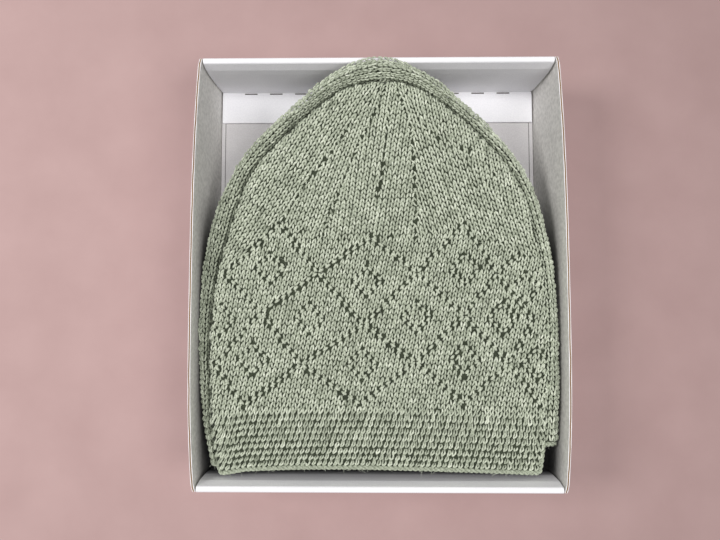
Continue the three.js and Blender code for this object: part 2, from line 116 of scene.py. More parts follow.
INNER = [
    (1.00, 2.0, 0, 0, 0, "top", "top", 0, 0.4, -1),
    (1.00, 1.0, 0, 0, 0, "top", "top", 0, 0, -1),
    (1.00, 0.5, 0, 0, 0, "top", "crease", 0.3, 0, -1),
    (1.00, 0.2, 0, 0, 0, "top", "crease", 0.7, 0, -1),
    (0.95, 0.0, 1, 0, 2.2, "crease", "crease", 0, -0.3, -1),
    (0.80, 0.0, 1, 0, 1.6, "crease", "crease", 0, -0.9, -1),
    (0.65, 0.0, 1, 0, 1.1, "crease", "crease", 0, -1.8, -1),
    (0.50, 0.0, 1, 0, 0.7, "crease", "crease", 0, -3, -1),
    (0.00, 0.0, 1, 0.6, 0.9, "fold", "fold", 0, -4.6, -1),
    (0.00, 0.0, 1, 1, 0.4, "fold", "fold", 0, -7, -1),
    (0.00, 0.0, 1, 1, 0.9, "edge", "bottom", 0.32, -1, 0),
    (0.00, 0.0, 1, 1, 2.4, "edge", "bottom", 0.6, 0, 0),
    (0.00, 0.0, 1, 1, 5.4, "edge", "bottom", 0.85, 1, 0),
    (0.00, 0.0, 1, 1, 10.5, "bottom", "bottom", 0, 0.5, 1),
    (0.00, 0.0, 1, 1, 22, "bottom", "bottom", 0, 0, 1),
]
SPANS = len(OUTER) - 1


def column(key, t):
    """Slope-limited cubic through one column of EDGE, at stations t."""
    v = EDGE[:, key]
    m = np.zeros(len(v))
    for i in range(1, LAST):
        a, b = v[i] - v[i - 1], v[i + 1] - v[i]
        m[i] = 0 if a * b <= 0 else 2 * a * b / (a + b)
    m[0] = v[1] - v[0]
    m[LAST] = END_SLOPE.get(key, v[LAST] - v[LAST - 1])
    t = np.asarray(t, float)
    i = np.clip(np.floor(t).astype(int), 0, LAST - 1)
    u = t - i
    u2, u3 = u * u, u * u * u
    return (v[i] * (2 * u3 - 3 * u2 + 1) + m[i] * (u3 - 2 * u2 + u)
            + v[i + 1] * (3 * u2 - 2 * u3) + m[i + 1] * (u3 - u2))


STATIONS = np.linspace(0, LAST, 2601)
LENGTHS = column(ALONG, STATIONS) * KUFI_LENGTH


def station_at(up):
    return np.interp(up, LENGTHS, STATIONS)


def edge_line(side, t):
    key = LEFT if side < 0 else RIGHT
    h = 0.02
    a, b = np.maximum(0, t - h), np.minimum(LAST, t + h)
    half = KUFI_WIDTH / 2
    tx = side * half * (column(key, b) - column(key, a))
    ty = KUFI_LENGTH * (column(ALONG, b) - column(ALONG, a))
    l = np.hypot(tx, ty)
    x = side * half * column(key, t)
    y = BASE_Y + column(ALONG, t) * KUFI_LENGTH
    return x, y, side * ty / l, -side * tx / l


def side_point(side, t, s, inner=False):
    """Point of the kufi's surface at station t and place s across the edge, 0 to SPANS."""
    t = np.asarray(t, float)
    s = np.clip(np.asarray(s, float), 0, SPANS)
    t, s = np.broadcast_arrays(t, s)
    roll = column(ROLL_L if side < 0 else ROLL_R, t)
    edge = column(EDGE_UP, t) * TRAY_HEIGHT
    top = column(TOP_UP, t) * TRAY_HEIGHT
    crease = top - column(DROP_L if side < 0 else DROP_R, t)
    climb = np.maximum(0, (column(EDGE_UP, t) - REST_SHARE) / (EDGE[LAST, EDGE_UP] - REST_SHARE))
    tuck = TUCK + APEX_TUCK * climb
    level = {
        "top": top, "crease": crease, "edge": edge,
        "crest": np.maximum(edge, crease) + CREST_RISE,
        "fold": np.minimum(edge, crease),
        "bottom": BOARD + SEAT_GAP + np.maximum(0, column(LIFT, t)) * (BOARD + SEAT_GAP),
    }
    d, z = [], []
    for r, rnd, kn, tk, mm, a, b, share, rise, wall in (INNER if inner else OUTER):
        d.append(-np.maximum(r * roll + rnd * EDGE_ROUND, kn * KNIT + tk * tuck + mm))
        z.append(level[a] + share * (level[b] - level[a]) + rise + wall * KNIT)
    pts = np.stack([np.array(d), np.array(z)], -1)
    i = np.clip(np.floor(s).astype(int), 0, SPANS - 1)
    u = (s - i)[..., None]
    grid = np.indices(t.shape)

    def pick(k):
        return pts[(np.clip(k, 0, SPANS), *grid)]

    p0, p1, p2, p3 = pick(i - 1), pick(i), pick(i + 1), pick(i + 2)
    q = 0.5 * (2 * p1 + (p2 - p0) * u + (2 * p0 - 5 * p1 + 4 * p2 - p3) * u ** 2
               + (3 * p1 - p0 - 3 * p2 + p3) * u ** 3)
    x, y, nx, ny = edge_line(side, t)
    return np.stack([x + nx * q[..., 0], y + ny * q[..., 0], q[..., 1]], -1)


def front_point(t, u, inner=False):
    a, b = side_point(-1, t, 0, inner), side_point(1, t, 0, inner)
    u = np.asarray(u, float)[..., None]
    p = a + (b - a) * u
    width = np.minimum(1, (b[..., 0] - a[..., 0]) / (0.6 * KUFI_WIDTH))
    p[..., 2] += CROWN_DOME * width * (1 - (2 * u[..., 0] - 1) ** 2)
    return p


def back_point(t, u, inner):
    a, b = side_point(1, t, SPANS, inner), side_point(-1, t, SPANS, inner)
    return a + (b - a) * np.asarray(u, float)[..., None]


def mouth_up(table, share):
    rounds, ups = table
    i = np.clip(np.searchsorted(rounds, share, side="left") - 1, 0, len(rounds) - 2)
    u = np.clip((share - rounds[i]) / (rounds[i + 1] - rounds[i]), 0, 1)
    return ups[i] + (ups[i + 1] - ups[i]) * u * u * (3 - 2 * u)


def front_up(u):
    bulge = 4 * u * (1 - u)
    return (MOUTH_LEFT[1][0] * (1 - u) + MOUTH_RIGHT[1][0] * u) * (1 - bulge) + MOUTH_FRONT_UP * bulge


# Mesh helpers
def mesh_object(name, co, faces, material, smooth=True):
    me = bpy.data.meshes.new(name)
    me.from_pydata([tuple(p) for p in np.asarray(co) * MM], [], [tuple(f) for f in faces])
    me.validate()
    for p in me.polygons:
        p.use_smooth = smooth
    ob = bpy.data.objects.new(name, me)
    bpy.context.scene.collection.objects.link(ob)
    me.materials.append(material)
    return ob


def fast_mesh(name, co, quads, caps, material):
    """Mesh from arrays: co (n, 3) in mm, quads (k, 4), caps (m, c)."""
    me = bpy.data.meshes.new(name)
    loops = np.concatenate([quads.ravel(), caps.ravel()])
    starts = np.concatenate([np.arange(len(quads)) * 4,
                             len(quads) * 4 + np.arange(len(caps)) * caps.shape[1]])
    me.vertices.add(len(co))
    me.vertices.foreach_set("co", (np.asarray(co) * MM).astype(np.float32).ravel())
    me.loops.add(len(loops))
    me.loops.foreach_set("vertex_index", loops.astype(np.int32))
    me.polygons.add(len(starts))
    me.polygons.foreach_set("loop_start", starts.astype(np.int32))
    me.polygons.foreach_set("use_smooth", np.ones(len(starts), bool))
    me.update(calc_edges=True)
    ob = bpy.data.objects.new(name, me)
    bpy.context.scene.collection.objects.link(ob)
    me.materials.append(material)
    return ob


def unit(v):
    return v / np.maximum(1e-9, np.linalg.norm(v, axis=-1, keepdims=True))


# Materials
def new_material(name, color, roughness, sheen=0.0):
    m = bpy.data.materials.new(name)
    m.use_nodes = True
    b = m.node_tree.nodes["Principled BSDF"]
    b.inputs["Base Color"].default_value = (*color, 1)
    b.inputs["Roughness"].default_value = roughness
    b.inputs["Sheen Weight"].default_value = sheen
    b.inputs["Specular IOR Level"].default_value = 0.3
    return m, m.node_tree, b


def node(nt, kind, **inputs):
    n = nt.nodes.new(kind)
    for k, v in inputs.items():
        n.inputs[k.replace("_", " ")].default_value = v
    return n


def ramp(nt, source, stops):
    r = nt.nodes.new("ShaderNodeValToRGB")
    el = r.color_ramp.elements
    while len(el) < len(stops):
        el.new(0.5)
    for e, (pos, col) in zip(el, stops):
        e.position = pos
        e.color = (*col, 1)
    nt.links.new(source, r.inputs["Fac"])
    return r.outputs["Color"]


def noise(nt, scale, detail):
    tc = nt.nodes.new("ShaderNodeTexCoord")
    n = node(nt, "ShaderNodeTexNoise", Scale=scale, Detail=detail)
    nt.links.new(tc.outputs["Object"], n.inputs["Vector"])
    return n.outputs["Fac"]


def bump(nt, b, height, strength, distance):
    n = node(nt, "ShaderNodeBump", Strength=strength, Distance=distance)
    nt.links.new(height, n.inputs["Height"])
    nt.links.new(n.outputs["Normal"], b.inputs["Normal"])


def math_node(nt, op, a, b):
    n = nt.nodes.new("ShaderNodeMath")
    n.operation = op
    for i, v in enumerate((a, b)):
        if isinstance(v, (int, float)):
            n.inputs[i].default_value = v
        else:
            nt.links.new(v, n.inputs[i])
    return n.outputs[0]


def mix(nt, fac, a, b, blend="MIX"):
    n = nt.nodes.new("ShaderNodeMix")
    n.data_type = "RGBA"
    n.blend_type = blend
    for sock, v in ((n.inputs[0], fac), (n.inputs[6], a), (n.inputs[7], b)):
        if isinstance(v, (int, float)):
            sock.default_value = v
        elif isinstance(v, tuple):
            sock.default_value = (*v, 1)
        else:
            nt.links.new(v, sock)
    return n.outputs[2]


def srgb(r, g, b):
    def f(c):
        c /= 255
        return c / 12.92 if c <= 0.04045 else ((c + 0.055) / 1.055) ** 2.4
    return f(r), f(g), f(b)


YARN_DARK = srgb(126, 133, 115)
YARN_MID = srgb(180, 187, 168)
YARN_PALE = srgb(224, 229, 212)
YARN_DEEP = srgb(58, 63, 50)
WHITE = srgb(250, 249, 252)
WHITE_SHADE = srgb(237, 236, 241)
# Painted shade: the dark olive of the backing shell under the stitches
BACKING_SHADOW = srgb(46, 52, 39)
BACKING_SHADOW_PALE = srgb(66, 73, 57)


def yarn_material(name):
    """Heathered wool: stitch to stitch tone, which on the rolls and in the crease also carries painted
    shade, fine fibre streaks and a soft sheen.
    """
    m, nt, b = new_material(name, YARN_MID, 0.9, 0.35)
    b.inputs["Sheen Roughness"].default_value = 0.6
    b.inputs["Sheen Tint"].default_value = (*YARN_PALE, 1)
    tone = nt.nodes.new("ShaderNodeAttribute")
    tone.attribute_name = "tone"
    fibres = noise(nt, 900, 4)
    patches = noise(nt, 45, 2)
    total = math_node(nt, "ADD", math_node(nt, "MULTIPLY", fibres, 0.75),
                      math_node(nt, "MULTIPLY", tone.outputs["Fac"], 0.32))
    total = math_node(nt, "ADD", total, 0.04)
    total = math_node(nt, "ADD", total, math_node(nt, "MULTIPLY", patches, 0.08))
    col = ramp(nt, total, [(0.0, YARN_DEEP), (0.30, YARN_DARK), (0.60, YARN_MID), (0.88, YARN_PALE)])
    nt.links.new(col, b.inputs["Base Color"])
    bump(nt, b, noise(nt, 1500, 4), 0.55, 0.0004)
    return m


# Dark olive as painted shade, the shadow seen through the gaps between the stitches
def shadow_backing_material():
    m, nt, b = new_material("kufi_inside_shadow", BACKING_SHADOW, 0.95, 0.2)
    col = ramp(nt, noise(nt, 300, 3), [(0.35, BACKING_SHADOW), (0.75, BACKING_SHADOW_PALE)])
    nt.links.new(col, b.inputs["Base Color"])
    bump(nt, b, noise(nt, 420, 3), 0.8, 0.0008)
    return m


def board_material(name, light, dark, scale=260, rough=0.78, strength=0.18):
    m, nt, b = new_material(name, light, rough)
    fine = noise(nt, scale * 5, 4)
    broad = noise(nt, 18, 3)
    total = math_node(nt, "ADD", math_node(nt, "MULTIPLY", fine, 0.45),
                      math_node(nt, "MULTIPLY", broad, 0.55))
    nt.links.new(ramp(nt, total, [(0.32, dark), (0.62, light)]), b.inputs["Base Color"])
    relief = math_node(nt, "ADD", noise(nt, scale * 4, 3), math_node(nt, "MULTIPLY", noise(nt, 30, 2), 3.0))
    bump(nt, b, relief, strength, 0.0006)
    return m


def grey_level(level):
    return level, level, level


def painted_contact_shade(nt, at, colour, stops):
    """Paints shade on a wall's inner face low down, where the knit presses close to it: a painted contact
    shadow.
    """
    low = math_node(nt, "MULTIPLY", at.outputs[2], 1 / (TRAY_HEIGHT * MM))
    return mix(nt, 1.0, colour, ramp(nt, low, [(k, grey_level(v)) for k, v in stops]), "MULTIPLY")


def facing_in(nt, at, axis):
    """1 on the face of a wall that looks toward the tray's middle along an axis."""
    geo, way = nt.nodes.new("ShaderNodeNewGeometry"), nt.nodes.new("ShaderNodeSeparateXYZ")
    nt.links.new(geo.outputs["True Normal"], way.inputs[0])
    product = math_node(nt, "MULTIPLY", at.outputs[axis], way.outputs[axis])
    return math_node(nt, "LESS_THAN", product, -0.05)


def wall_start(name):
    """White board, and the sockets that a wall's inner face is painted with."""
    m = board_material(name, WHITE, WHITE_SHADE)
    nt = m.node_tree
    b = nt.nodes["Principled BSDF"]
    tc, at = nt.nodes.new("ShaderNodeTexCoord"), nt.nodes.new("ShaderNodeSeparateXYZ")
    nt.links.new(tc.outputs["Object"], at.inputs[0])
    return m, nt, b, b.inputs["Base Color"].links[0].from_socket, at


def side_material():
    """White outside and on the cut edge, grey on the face toward the tray's middle, with painted shade low
    on that face next to the kufi's wide part.
    """
    m, nt, b, white, at = wall_start("board_side")
    grey = ramp(nt, noise(nt, 420, 4), [(0.35, srgb(206, 204, 200)), (0.65, srgb(228, 226, 222))])
    painted_shade = painted_contact_shade(nt, at, grey, [(0.40, 0.05), (0.62, 0.22), (0.80, 0.78), (0.92, 1.0)])
    # 1 next to the kufi's wide part, where the painted shade is laid, 0 toward the crown, where the walls
    # stand clear of it
    beside = math_node(nt, "ADD", math_node(nt, "MULTIPLY", at.outputs[1], -25.0), 1.25)
    beside = math_node(nt, "MINIMUM", math_node(nt, "MAXIMUM", beside, 0.0), 1.0)
    nt.links.new(mix(nt, facing_in(nt, at, 0), white, mix(nt, beside, grey, painted_shade)), b.inputs["Base Color"])
    return m


def near_material():
    """White, with painted shade low on the inner face under the band's edge."""
    m, nt, b, white, at = wall_start("board_near")
    painted_shade = painted_contact_shade(nt, at, white, [(0.46, 0.05), (0.58, 0.45), (0.66, 1.0)])
    nt.links.new(mix(nt, facing_in(nt, at, 1), white, painted_shade), b.inputs["Base Color"])
    return m


YARN = yarn_material("yarn_sage")
INSIDE_SHADOW = shadow_backing_material()
WHITE_BOARD = board_material("board_white", WHITE, WHITE_SHADE)
FLOOR_BOARD = board_material("board_grey", srgb(222, 219, 220), srgb(200, 196, 197), 320, 0.85, 0.3)
CORE = board_material("board_core", srgb(150, 124, 96), srgb(112, 88, 64), 600, 0.95, 0.5)
# Painted shade for the slots and the creases in the board
SLOT_SHADE = board_material("board_slot_shade", srgb(112, 108, 106), srgb(88, 85, 84), 300, 0.95, 0.2)

SIDE_BOARD, NEAR_BOARD = side_material(), near_material()
for name, board in (("tray_side_left", SIDE_BOARD), ("tray_side_right", SIDE_BOARD),
                    ("tray_end_far", WHITE_BOARD), ("tray_end_near", NEAR_BOARD)):
    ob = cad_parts[name]
    ob.data.materials.clear()
    ob.data.materials.append(board)
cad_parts["tray_floor"].data.materials.clear()
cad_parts["tray_floor"].data.materials.append(FLOOR_BOARD)

# The kufi's backing: one hollow shell under the stitches, coloured dark olive as painted shade for the
# shadow seen between the stitches and through the eyelets
BACKING_DEPTH = 0.5
BACKING_SETBACK = 0.6
SIDE_S = np.linspace(0, SPANS, 57)
FRONT_U = np.linspace(0, 1, 25)
BACK_U = np.linspace(0, 1, 13)
SHELL_ROWS = 74


def loop_columns():
    cols = [("side", 1, s, mouth_up(MOUTH_RIGHT, s / SPANS)) for s in SIDE_S]
    for u in BACK_U[1:-1]:
        bulge = 4 * u * (1 - u)
        ends = MOUTH_RIGHT[1][4] * (1 - u) + MOUTH_LEFT[1][4] * u
        cols.append(("back", 0, u, ends * (1 - bulge) + MOUTH_BACK_UP * bulge))
    cols += [("side", -1, s, mouth_up(MOUTH_LEFT, s / SPANS)) for s in SIDE_S[::-1]]
    cols += [("front", 0, u, front_up(u)) for u in FRONT_U[1:-1]]
    return cols


def surface(kind, side, place, t, inner):
    if kind == "side":
        return side_point(side, t, np.full(np.shape(t), place), inner)
    if kind == "back":
        return back_point(t, np.full(np.shape(t), place), inner)
    return front_point(t, np.full(np.shape(t), place), inner)


def shell_grid(depth, extra):
    """Grid rows x columns of points, depth 0 on the outside and 1 on the inside."""
    grid = []
    for kind, side, place, up in loop_columns():
        t0 = float(station_at(up + extra))
        t = t0 + (LAST - t0) * np.linspace(0, 1, SHELL_ROWS + 1)
        t[-1] = LAST - 1e-4
        a = surface(kind, side, place, t, False)
        b = surface(kind, side, place, t, True)
        grid.append(a + (b - a) * depth)
    return np.array(grid).transpose(1, 0, 2)


def build_backing():
    outer, inner = shell_grid(BACKING_DEPTH, BACKING_SETBACK), shell_grid(1.0, BACKING_SETBACK)
    rows, n, _ = outer.shape
    co = np.concatenate([outer.reshape(-1, 3), inner.reshape(-1, 3)])
    faces = []
    for r in range(rows - 1):
        for i in range(n):
            j = (i + 1) % n
            a, b, c, d = r * n + i, (r + 1) * n + i, (r + 1) * n + j, r * n + j
            faces.append((a, b, c, d))
            k = rows * n
            faces.append((k + a, k + d, k + c, k + b))
    for i in range(n):
        j = (i + 1) % n
        faces.append((i, j, rows * n + j, rows * n + i))
    return mesh_object("kufi_backing", co, faces, INSIDE_SHADOW)


backing = build_backing()


# Top surface that carries the front's stitches, as far as the crease
FRONT_EDGE = 4.2


def front_tree():
    t = (LAST - END_GAP) * np.linspace(0, 1, 261)
    grid = [side_point(-1, t, np.full(t.shape, s)) for s in np.linspace(FRONT_EDGE, 0, 18)]
    for u in np.linspace(0, 1, 41)[1:-1]:
        grid.append(front_point(t, np.full(t.shape, u)))
    for s in np.linspace(0, FRONT_EDGE, 18):
        grid.append(side_point(1, t, np.full(t.shape, s)))
    g = np.array(grid).transpose(1, 0, 2)
    rows, n, _ = g.shape
    faces = [(r * n + i, r * n + i + 1, (r + 1) * n + i + 1, (r + 1) * n + i)
             for r in range(rows - 1) for i in range(n - 1)]
    return BVHTree.FromPolygons([tuple(p) for p in g.reshape(-1, 3)], faces)


TREE = front_tree()
SKY = 90.0


def drop_on(points):
    """Heights and normals of the front surface under plan points; misses are marked."""
    z, nrm, ok = [], [], []
    for x, y in points:
        hit, n, _, _ = TREE.ray_cast(Vector((x, y, SKY)), Vector((0, 0, -1)))
        if hit is None:
            z.append(0.0)
            nrm.append((0, 0, 1))
            ok.append(False)
        else:
            z.append(hit.z)
            nrm.append(tuple(n if n.z > 0 else -n))
            ok.append(True)
    return np.array(z), np.array(nrm), np.array(ok)


# Stitches
RINGS = 6
SIDES = 6
SWELL = 0.06
THIN = 0.42
TONE = 0.5
TONE_SPREAD = 0.22
SEED = 11
rng = np.random.default_rng(SEED)


def round_tubes(c, normal, r, height=1.0):
    """Rings of points round centre lines c (n, rings, 3) that lie on a surface."""
    tangent = unit(np.gradient(c, axis=1))
    across = unit(np.cross(np.broadcast_to(normal[:, None], c.shape), tangent))
    upward = unit(np.cross(tangent, across))
    ang = np.arange(SIDES) * 2 * math.pi / SIDES
    ring = (across[:, :, None] * np.cos(ang)[None, None, :, None]
            + upward[:, :, None] * (height * np.sin(ang))[None, None, :, None])
    return c[:, :, None] + ring * r[:, :, None, None]


def legs(P, A, B, N, spec, scale):
    """Two plump legs of yarn a stitch. P centre, A along the course, B up the wale, N outward."""
    n = len(P)
    v = np.linspace(0, 1, RINGS)
    body = np.sin(np.pi * (0.10 + 0.80 * v)) ** 0.6
    jitter = rng.normal(0, spec["jitter"], (n, 3))
    height = rng.normal(0, spec["lift_jitter"], n)
    swell = 1 + rng.normal(0, SWELL, n)
    beta = spec["reach"] * (v - 0.5)
    depth = -spec["sink"] + spec["dive"] * (body - 1)
    r = spec["radius"] * (THIN + (1 - THIN) * body)[None, :] * (swell * scale)[:, None]
    blocks = []
    for q in (-1, 1):
        alpha = q * (spec["foot"] + (spec["head"] - spec["foot"]) * v ** spec["curve"])
        c = (P[:, None] + jitter[:, None] + alpha[None, :, None] * A[:, None]
             + beta[None, :, None] * B[:, None])
        c = c + (depth[None, :] + height[:, None])[..., None] * N[:, None]
        blocks.append(round_tubes(c, N, r))
    return np.stack(blocks, 1)


def stitch_tones(count):
    return rng.normal(TONE, TONE_SPREAD, count)


def tubes_to_mesh(name, tubes, tone, material):
    """tubes (n, rings, sides, 3) become closed tubes with an atlas UV."""
    n, rings, sides, _ = tubes.shape
    per = rings * sides
    base = (np.arange(n) * per)[:, None]
    k, s = np.meshgrid(np.arange(rings - 1), np.arange(sides), indexing="ij")
    s2 = (s + 1) % sides
    low, high = k * sides, (k + 1) * sides
    q = np.stack([low + s, low + s2, high + s2, high + s], -1).reshape(-1, 4)
    quads = (base[:, :, None] + q[None]).reshape(-1, 4)
    cap = np.stack([np.arange(sides)[::-1], (rings - 1) * sides + np.arange(sides)])
    caps = (base[:, :, None] + cap[None]).reshape(-1, sides)
    ob = fast_mesh(name, tubes.reshape(-1, 3), quads, caps, material)
    me = ob.data
    att = me.attributes.new("tone", "FLOAT", "POINT")
    att.data.foreach_set("value", np.repeat(tone, per).astype(np.float32))
    # Atlas: one cell a tube, its side strip above its two caps
    cells = int(math.ceil(math.sqrt(n)))
    pitch = 1.0 / cells
    cell = np.stack([np.arange(n) % cells, np.arange(n) // cells], -1) * pitch
    pad = 0.08
    corner = np.stack([
        np.stack([s, k], -1), np.stack([s + 1, k], -1),
        np.stack([s + 1, k + 1], -1), np.stack([s, k + 1], -1)], 2).reshape(-1, 2).astype(float)
    corner = corner / [sides, rings - 1]
    strip = (pad + corner * [1 - 2 * pad, 0.72 - pad]) * pitch
    uv_q = (cell[:, None] + strip[None]).reshape(-1, 2)
    ang = np.arange(sides) * 2 * math.pi / sides
    circle = np.stack([np.cos(ang), np.sin(ang)], -1) * 0.09
    cap_uv = np.concatenate([circle[::-1] + [0.28, 0.87], circle + [0.72, 0.87]]) * pitch
    uv_c = (cell[:, None] + cap_uv[None]).reshape(-1, 2)
    uv = me.uv_layers.new(name="OFBake")
    uv.data.foreach_set("uv", np.concatenate([uv_q, uv_c]).astype(np.float32).ravel())
    return ob


# A stitch's legs: half widths and reach in pitches, the rest in millimetres
PLAIN = {"foot": 0.13, "head": 0.41, "curve": 0.9, "reach": 1.08, "sink": 0.42, "dive": 2.0,
         "radius": 0.60, "jitter": 0.17, "lift_jitter": 0.18}
BAND = {"foot": 0.10, "head": 0.36, "curve": 0.8, "reach": 0.98, "sink": 0.45, "dive": 2.0,
        "radius": 0.60, "jitter": 0.15, "lift_jitter": 0.16}

# The lace's chart, in millimetres from the tray's middle
CROWN = (7.3, 116.6)
PEAKS_TOP = [(-59.5, 28.5), (-4.4, 20.0), (51.7, 28.2), (84.4, 9.9)]
CROSS_TOP = [(-92.0, -2.0), (-36.4, -1.1), (23.0, -1.2), (71.0, -1.5)]
PEAKS_MID = [(-70.1, -24.7), (-8.9, -32.1), (51.1, -26.7), (92.0, -30.0)]
CROSS_LOW = [(-98.0, -56.0), (-46.1, -55.6), (21.9, -53.8), (77.0, -55.0)]
PEAKS_LOW = [(-79.7, -79.9), (-10.7, -78.8), (50.5, -78.7), (96.0, -80.0)]
GORE_LINES = [
    [(-57.0, 31.5), (-46.2, 49.5), (-21.4, 80.2)],
    [(-32.9, 21.4), (-22.5, 50.4), (-8.9, 82.1), (0.5, 98.0)],
    [(1.8, 52.8), (4.0, 75.2), (6.2, 96.0)],
    [(22.1, 19.7), (22.7, 37.0), (20.9, 67.6), (19.8, 83.4), (14.1, 102.2)],
    [(70.0, 58.1), (62.8, 69.4), (39.8, 75.7), (24.0, 90.0)],
]
EYELET_STEP = 4.8
EYELET_APART = 2.8
RING_HALF = 8.6
RING_STEP = 4.4
BODY_TOP = ([-114, -88, -59.5, -33.3, 22, 51.7, 84.6, 114], [0.5, 5, 27, 19.7, 19.6, 26.8, 9.9, 5])
LEFT_LINE, A_LINE, B_LINE, R_LINE = -38.5, -24.0, -6.0, 42.0
C_LINE = ([14, 33, 49, 65, 80, 97], [25, 20.6, 15.5, 12.7, 11, 8.7])
# Stitch lattices: pitch along the course and up the wale, for the body and six gores
BODY_LATTICE = ((3.22, -0.126), (0.62, 2.86))
GORES = [
    ((3.33, -1.34), (1.67, 2.59)),
    ((3.45, -0.55), (1.05, 2.66)),
    ((3.69, 0.325), (0.41, 2.64)),
    ((3.54, 0.13), (0.45, 2.77)),
    ((3.17, 1.59), (-1.01, 2.95)),
    ((3.38, 1.26), (-0.48, 2.74)),
]
BAND_ROWS = [2.9, 6.2, 9.8, 13.6, 17.5, 21.4, 25.3, 29.2, 33.0]
BAND_PITCH = 3.2
BAND_SHIFT = 1.32
BAND_SHADE = 0.05
PITCH = 3.22
LATTICE_REACH = 95
LATTICE_ROOM = 1.6
MOST_STRETCH = 1.45
BODY_ORIGIN = (0.4, -50.0)
PLAN_X, PLAN_Y = 112, 128
GAP_FILL = 2.15
FILL_STEP = 0.9
FILL_FROM, FILL_TO = -90, 126
FILL_SCALE = 0.8


def polyline(points, step):
    p = np.array(points, float)
    seg = np.hypot(*np.diff(p, axis=0).T)
    at = np.concatenate([[0], np.cumsum(seg)])
    n = max(1, int(round(at[-1] / step)))
    q = np.linspace(0, at[-1], n + 1)
    return np.stack([np.interp(q, at, p[:, 0]), np.interp(q, at, p[:, 1])], -1)


def lace_points():
    lines = []
    for tops, crossings, bottoms in ((PEAKS_TOP, CROSS_TOP, PEAKS_MID), (PEAKS_MID, CROSS_LOW, PEAKS_LOW)):
        for i, top in enumerate(tops):
            for c in crossings[i:i + 2]:
                lines += [polyline([top, c], EYELET_STEP), polyline([c, bottoms[i]], EYELET_STEP)]
    centres = [((a[0] + b[0]) / 2, (a[1] + b[1]) / 2) for a, b in zip(PEAKS_TOP, PEAKS_MID)]
    centres += [((a[0] + b[0]) / 2, (a[1] + b[1]) / 2) for a, b in zip(PEAKS_MID, PEAKS_LOW)]
    centres += [((a[0] + b[0]) / 2, (a[1] + b[1]) / 2) for a, b in zip(CROSS_TOP, CROSS_LOW)]
    for x, y in centres:
        h = RING_HALF
        ring = [(x, y + h), (x + h, y), (x, y - h), (x - h, y), (x, y + h)]
        lines += [polyline(ring[k:k + 2], RING_STEP) for k in range(4)]
    return lines


def leaf_chart(lines):
    """Middle, direction and length of the smooth strand between one eyelet and the next."""
    mid, way = [], []
    for line in lines:
        mid.append((line[1:] + line[:-1]) / 2)
        way.append(line[1:] - line[:-1])
    return np.concatenate(mid), np.concatenate(way)


def mouth_line():
    """Plan line of the front's mouth edge, left to right."""
    pts = []
    for s in np.linspace(FRONT_EDGE, 0, 9):
        t = float(station_at(mouth_up(MOUTH_LEFT, s / SPANS)))
        pts.append(side_point(-1, t, s))
    for u in np.linspace(0, 1, 21)[1:-1]:
        pts.append(front_point(np.array(float(station_at(front_up(u)))), np.array(u)))
    for s in np.linspace(0, FRONT_EDGE, 9):
        t = float(station_at(mouth_up(MOUTH_RIGHT, s / SPANS)))
        pts.append(side_point(1, t, s))
    p = np.array([np.asarray(q).reshape(3) for q in pts])
    return p[np.argsort(p[:, 0])]


MOUTH = mouth_line()


def mouth_y(x):
    return np.interp(x, MOUTH[:, 0], MOUTH[:, 1])


FRONT_MOUTH = MOUTH[(MOUTH[:, 0] > -90) & (MOUTH[:, 0] < 92)]


def band_y(x):
    """The mouth line without its climb round the corners, which the band's rows follow."""
    return np.interp(x, FRONT_MOUTH[:, 0], FRONT_MOUTH[:, 1])


def region_of(p):
    """-1 for the band, 0 for the body, 1 to 6 for the crown's gores."""
    x, y = p[:, 0], p[:, 1]
    dx, dy = x - CROWN[0], CROWN[1] - y
    phi = np.degrees(np.arctan2(dx, dy))
    gore = 1 + (phi > LEFT_LINE).astype(int) + (phi > A_LINE) + (phi > B_LINE)
    gore = gore + (phi > np.interp(dy, *C_LINE)) + (phi > R_LINE)
    out = np.where(y < np.interp(x, *BODY_TOP), 0, gore)
    return np.where(y < band_y(x) + BAND_ROWS[-1] + 1.6, -1, out)


def lattice(origin, a, b):
    count = np.arange(-LATTICE_REACH, LATTICE_REACH + 1)
    i, j = np.meshgrid(count, count)
    p = np.array(origin) + i.reshape(-1, 1) * np.array(a) + j.reshape(-1, 1) * np.array(b)
    return p[(abs(p[:, 0]) < PLAN_X) & (abs(p[:, 1]) < PLAN_Y)]


def in_surface(v, nrm):
    """Plan vectors laid on the surface, no longer than MOST_STRETCH times their plan length."""
    v3 = np.zeros((len(nrm), 3))
    v3[:, :2] = v
    v3[:, 2] = -(nrm[:, 0] * v3[:, 0] + nrm[:, 1] * v3[:, 1]) / np.maximum(0.3, nrm[:, 2])
    flat = np.linalg.norm(v3[:, :2], axis=1)
    k = np.minimum(1, MOST_STRETCH * flat / np.maximum(1e-6, np.linalg.norm(v3, axis=1)))
    return v3 * k[:, None]


